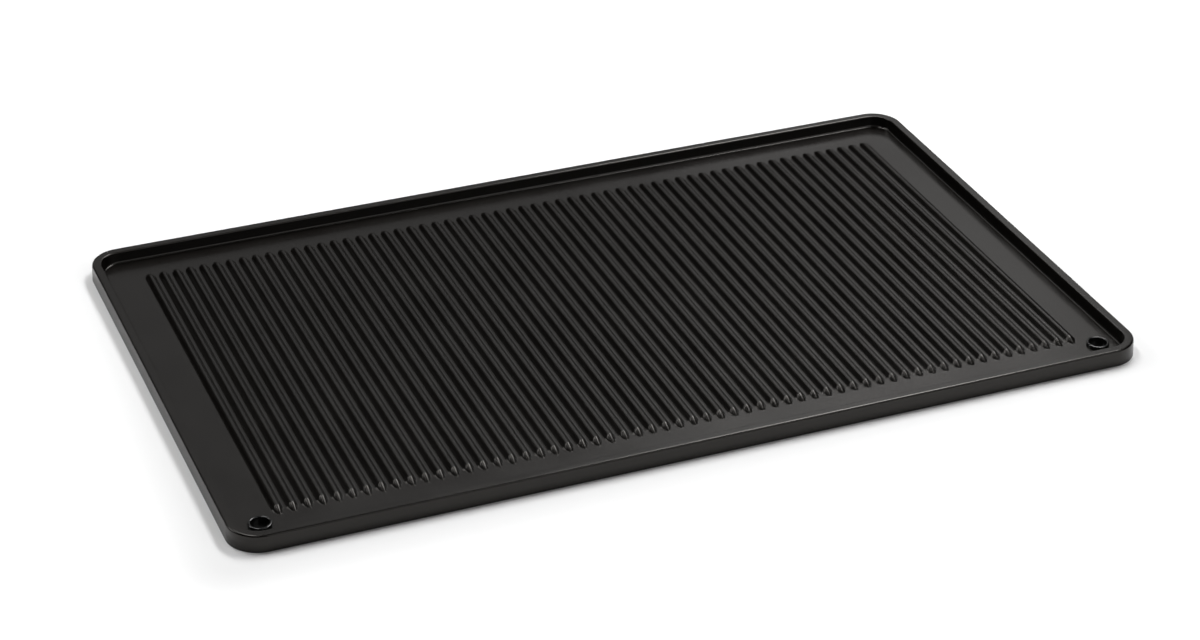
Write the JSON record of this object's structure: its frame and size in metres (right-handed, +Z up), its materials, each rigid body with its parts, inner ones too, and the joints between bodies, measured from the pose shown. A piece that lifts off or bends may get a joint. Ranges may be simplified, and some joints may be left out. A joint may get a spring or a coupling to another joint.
{
  "type": "camp griddle plate",
  "caption": "Rectangular cast griddle plate with a raised rim, rounded ribs running front to back and collared pin sockets in its front corners.",
  "frame": {"origin": "middle of the flat underside, on the surface the plate lies on", "axes": "+X to the right along the long side, +Y to the back along the ribs, +Z up"},
  "size_m": [0.428, 0.26, 0.008],
  "materials": {
    "coated_aluminium": "cast aluminium with a satin black non-stick coating",
    "black_enamel": "turned steel with a glossy black enamel"
  },
  "bodies": {
    "root": {"cast_plate": "coated_aluminium", "left_pin_socket": "black_enamel", "right_pin_socket": "black_enamel"}
  },
  "joints": []
}
